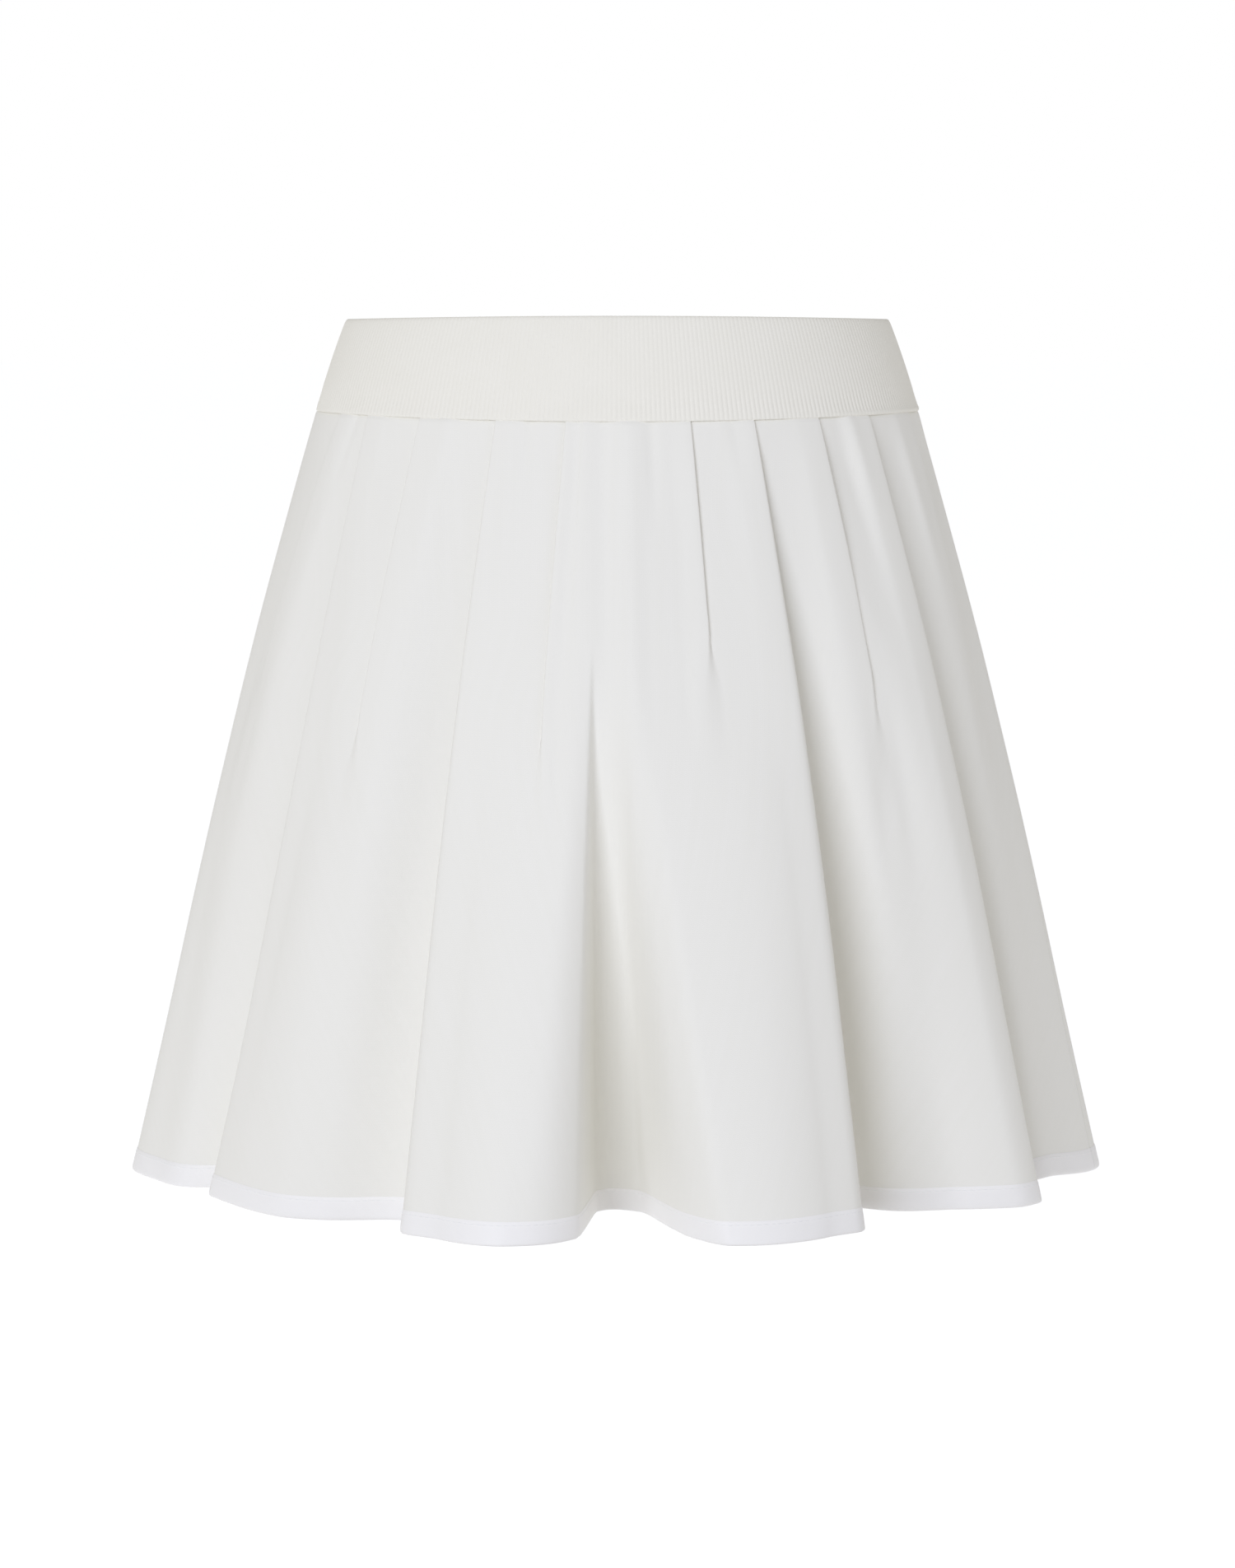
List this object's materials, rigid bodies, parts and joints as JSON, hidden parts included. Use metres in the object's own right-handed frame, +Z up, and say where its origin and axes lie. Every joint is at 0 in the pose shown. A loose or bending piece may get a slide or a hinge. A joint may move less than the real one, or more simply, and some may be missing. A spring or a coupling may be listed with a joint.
{
  "type": "flared pleated skirt",
  "caption": "Hollow flared knit skirt with a wide ribbed elastic waistband, pleats let into the waist seam, deep flutes and a narrow bound hem, standing open in its worn shape.",
  "frame": {"origin": "centre of the waist opening, level with the rim at centre front", "axes": "+Z up along the wearer, -Y towards the front of the skirt, +X to the right in a front view, which is the wearer's left"},
  "size_m": [0.4625, 0.3717, 0.406],
  "materials": {
    "rib_knit": "ivory fine rib knit over elastic, matt",
    "skirt_knit": "ivory fine double knit, matt with a slight bloom",
    "hem_binding": "cool white folded knit binding, slightly smoother"
  },
  "bodies": {
    "root": {"waistband": "rib_knit", "skirt_front": "skirt_knit", "skirt_back": "skirt_knit", "hem_front": "hem_binding", "hem_back": "hem_binding"}
  },
  "joints": []
}
